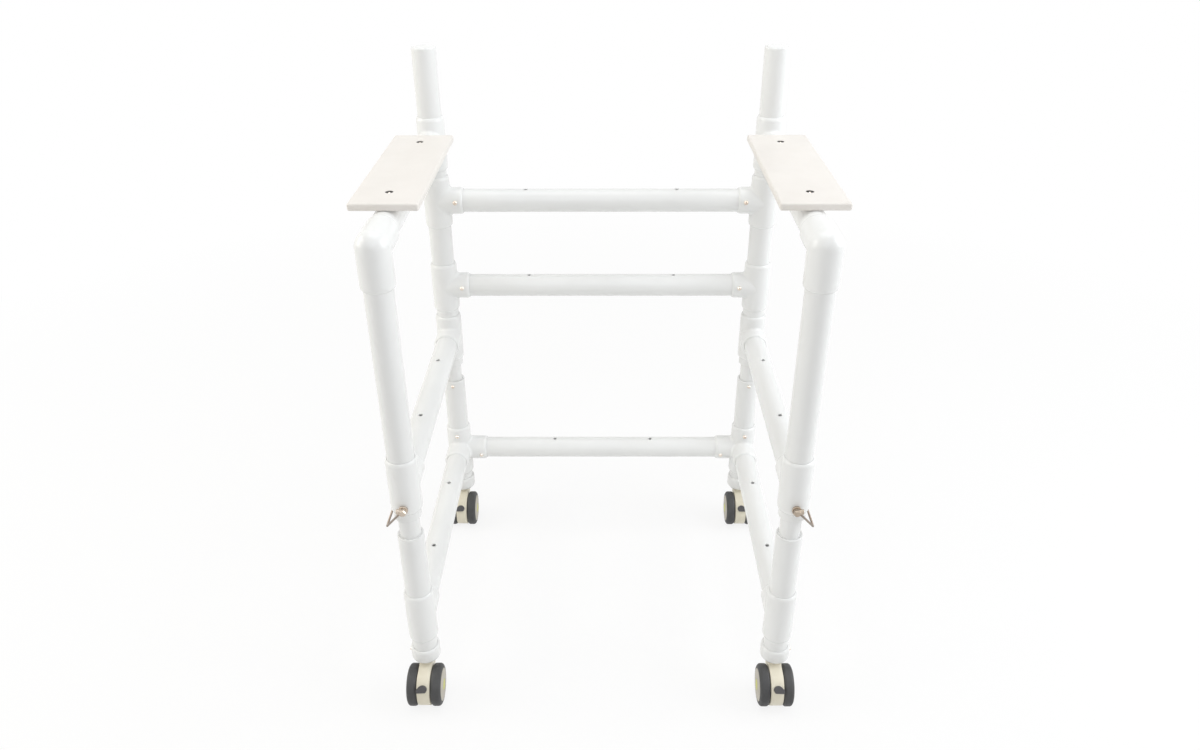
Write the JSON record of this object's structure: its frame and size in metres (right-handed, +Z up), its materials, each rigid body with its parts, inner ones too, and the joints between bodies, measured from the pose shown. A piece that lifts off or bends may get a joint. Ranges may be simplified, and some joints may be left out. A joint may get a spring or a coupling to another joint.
{
  "type": "pool walker",
  "caption": "Height-adjustable white plastic pipe walker for pools, open at the rear, with flat armrest boards, handle posts and braked twin-wheel casters.",
  "frame": {"origin": "on the floor under the middle of the walker's bounding box", "axes": "+Z up, +Y the way the user walks, towards the cross bars, +X to the user's right"},
  "size_m": [0.7, 0.592, 0.996],
  "materials": {
    "pipe": "smooth white pipe",
    "fitting": "smooth white moulding",
    "board": "cream sheet with eased edges",
    "wheel": "dark grey tread on a yellow-green rim",
    "hood": "beige moulding",
    "pedal": "dark moulding",
    "steel": "bright wire and pin"
  },
  "bodies": {
    "lower_frame": {"caster_cap_front_left": "fitting", "caster_cap_front_right": "fitting", "caster_cap_rear_left": "fitting", "caster_cap_rear_right": "fitting", "lower_corner_fitting_left": "fitting", "lower_corner_fitting_right": "fitting", "lower_cross_bar": "pipe", "lower_leg_front_left": "pipe", "lower_leg_front_right": "pipe", "lower_leg_rear_left": "pipe", "lower_leg_rear_right": "pipe", "lower_side_rail_left": "pipe", "lower_side_rail_right": "pipe", "lower_side_tee_left": "fitting", "lower_side_tee_right": "fitting"},
    "upper_frame": {"armrest_board_left": "board", "armrest_board_right": "board", "armrest_rail_left": "pipe", "armrest_rail_right": "pipe", "elbow_left": "fitting", "elbow_right": "fitting", "handle_post_left": "pipe", "handle_post_right": "pipe", "middle_cross_bar": "pipe", "post_lower_tees_left": "fitting", "post_lower_tees_right": "fitting", "post_upper_tees_left": "fitting", "post_upper_tees_right": "fitting", "rear_leg_pipe_left": "pipe", "rear_leg_pipe_right": "pipe", "top_cross_bar": "pipe", "upper_side_rail_left": "pipe", "upper_side_rail_right": "pipe", "upper_side_tee_left": "fitting", "upper_side_tee_right": "fitting"},
    "caster_rear_left": {"caster_hood_rear_left": "hood"},
    "brake_rear_left": {"brake_pedal_rear_left": "pedal"},
    "wheel_outer_rear_left": {"wheel_outer_rear_left": "wheel"},
    "wheel_inner_rear_left": {"wheel_inner_rear_left": "wheel"},
    "pin_rear_left": {"lock_pin_rear_left": "steel"},
    "bail_rear_left": {"wire_bail_rear_left": "steel"},
    "caster_rear_right": {"caster_hood_rear_right": "hood"},
    "brake_rear_right": {"brake_pedal_rear_right": "pedal"},
    "wheel_outer_rear_right": {"wheel_outer_rear_right": "wheel"},
    "wheel_inner_rear_right": {"wheel_inner_rear_right": "wheel"},
    "pin_rear_right": {"lock_pin_rear_right": "steel"},
    "bail_rear_right": {"wire_bail_rear_right": "steel"},
    "caster_front_left": {"caster_hood_front_left": "hood"},
    "brake_front_left": {"brake_pedal_front_left": "pedal"},
    "wheel_outer_front_left": {"wheel_outer_front_left": "wheel"},
    "wheel_inner_front_left": {"wheel_inner_front_left": "wheel"},
    "pin_front_left": {"lock_pin_front_left": "steel"},
    "bail_front_left": {"wire_bail_front_left": "steel"},
    "caster_front_right": {"caster_hood_front_right": "hood"},
    "brake_front_right": {"brake_pedal_front_right": "pedal"},
    "wheel_outer_front_right": {"wheel_outer_front_right": "wheel"},
    "wheel_inner_front_right": {"wheel_inner_front_right": "wheel"},
    "pin_front_right": {"lock_pin_front_right": "steel"},
    "bail_front_right": {"wire_bail_front_right": "steel"}
  },
  "joints": [
    {"name": "height_slide", "type": "slide", "parent": "lower_frame", "child": "upper_frame", "axis": [0, 0, 1], "range_m": [0, 0.1524]},
    {"name": "swivel_rear_left", "type": "hinge", "parent": "lower_frame", "child": "caster_rear_left", "pos_m": [-0.3, -0.23101, 0.073], "axis": [0, 0, 1], "continuous": true},
    {"name": "spin_outer_rear_left", "type": "hinge", "parent": "caster_rear_left", "child": "wheel_outer_rear_left", "pos_m": [-0.3, -0.25901, 0.0355], "axis": [1, 0, 0], "continuous": true},
    {"name": "spin_inner_rear_left", "type": "hinge", "parent": "caster_rear_left", "child": "wheel_inner_rear_left", "pos_m": [-0.3, -0.25901, 0.0355], "axis": [1, 0, 0], "continuous": true},
    {"name": "brake_rear_left", "type": "hinge", "parent": "caster_rear_left", "child": "brake_rear_left", "pos_m": [-0.3, -0.28511, 0.0401], "axis": [1, 0, 0], "range_deg": [0, 15]},
    {"name": "pull_rear_left", "type": "slide", "parent": "upper_frame", "child": "pin_rear_left", "axis": [0, -1, 0], "range_m": [0, 0.06]},
    {"name": "swing_rear_left", "type": "hinge", "parent": "pin_rear_left", "child": "bail_rear_left", "pos_m": [-0.3, -0.26201, 0.412], "axis": [-0.8018, 0, 0.5976], "range_deg": [0, 150]},
    {"name": "swivel_rear_right", "type": "hinge", "parent": "lower_frame", "child": "caster_rear_right", "pos_m": [0.3, -0.23101, 0.073], "axis": [0, 0, 1], "continuous": true},
    {"name": "spin_outer_rear_right", "type": "hinge", "parent": "caster_rear_right", "child": "wheel_outer_rear_right", "pos_m": [0.3, -0.25901, 0.0355], "axis": [1, 0, 0], "continuous": true},
    {"name": "spin_inner_rear_right", "type": "hinge", "parent": "caster_rear_right", "child": "wheel_inner_rear_right", "pos_m": [0.3, -0.25901, 0.0355], "axis": [1, 0, 0], "continuous": true},
    {"name": "brake_rear_right", "type": "hinge", "parent": "caster_rear_right", "child": "brake_rear_right", "pos_m": [0.3, -0.28511, 0.0401], "axis": [1, 0, 0], "range_deg": [0, 15]},
    {"name": "pull_rear_right", "type": "slide", "parent": "upper_frame", "child": "pin_rear_right", "axis": [0, -1, 0], "range_m": [0, 0.06]},
    {"name": "swing_rear_right", "type": "hinge", "parent": "pin_rear_right", "child": "bail_rear_right", "pos_m": [0.3, -0.26201, 0.412], "axis": [-0.8018, 0, -0.5976], "range_deg": [0, 150]},
    {"name": "swivel_front_left", "type": "hinge", "parent": "lower_frame", "child": "caster_front_left", "pos_m": [-0.3, 0.25899, 0.073], "axis": [0, 0, 1], "continuous": true},
    {"name": "spin_outer_front_left", "type": "hinge", "parent": "caster_front_left", "child": "wheel_outer_front_left", "pos_m": [-0.3, 0.23099, 0.0355], "axis": [1, 0, 0], "continuous": true},
    {"name": "spin_inner_front_left", "type": "hinge", "parent": "caster_front_left", "child": "wheel_inner_front_left", "pos_m": [-0.3, 0.23099, 0.0355], "axis": [1, 0, 0], "continuous": true},
    {"name": "brake_front_left", "type": "hinge", "parent": "caster_front_left", "child": "brake_front_left", "pos_m": [-0.3, 0.20489, 0.0401], "axis": [1, 0, 0], "range_deg": [0, 15]},
    {"name": "pull_front_left", "type": "slide", "parent": "upper_frame", "child": "pin_front_left", "axis": [0, 1, 0], "range_m": [0, 0.06]},
    {"name": "swing_front_left", "type": "hinge", "parent": "pin_front_left", "child": "bail_front_left", "pos_m": [-0.3, 0.28999, 0.412], "axis": [0.8018, 0, -0.5976], "range_deg": [0, 150]},
    {"name": "swivel_front_right", "type": "hinge", "parent": "lower_frame", "child": "caster_front_right", "pos_m": [0.3, 0.25899, 0.073], "axis": [0, 0, 1], "continuous": true},
    {"name": "spin_outer_front_right", "type": "hinge", "parent": "caster_front_right", "child": "wheel_outer_front_right", "pos_m": [0.3, 0.23099, 0.0355], "axis": [1, 0, 0], "continuous": true},
    {"name": "spin_inner_front_right", "type": "hinge", "parent": "caster_front_right", "child": "wheel_inner_front_right", "pos_m": [0.3, 0.23099, 0.0355], "axis": [1, 0, 0], "continuous": true},
    {"name": "brake_front_right", "type": "hinge", "parent": "caster_front_right", "child": "brake_front_right", "pos_m": [0.3, 0.20489, 0.0401], "axis": [1, 0, 0], "range_deg": [0, 15]},
    {"name": "pull_front_right", "type": "slide", "parent": "upper_frame", "child": "pin_front_right", "axis": [0, 1, 0], "range_m": [0, 0.06]},
    {"name": "swing_front_right", "type": "hinge", "parent": "pin_front_right", "child": "bail_front_right", "pos_m": [0.3, 0.28999, 0.412], "axis": [0.8018, 0, 0.5976], "range_deg": [0, 150]}
  ],
  "couplings": [
    {"joint": "swing_rear_left", "follows": "pull_rear_left", "rad_per_m": 43.6},
    {"joint": "swing_rear_right", "follows": "pull_rear_right", "rad_per_m": 43.6},
    {"joint": "swing_front_left", "follows": "pull_front_left", "rad_per_m": 43.6},
    {"joint": "swing_front_right", "follows": "pull_front_right", "rad_per_m": 43.6}
  ]
}
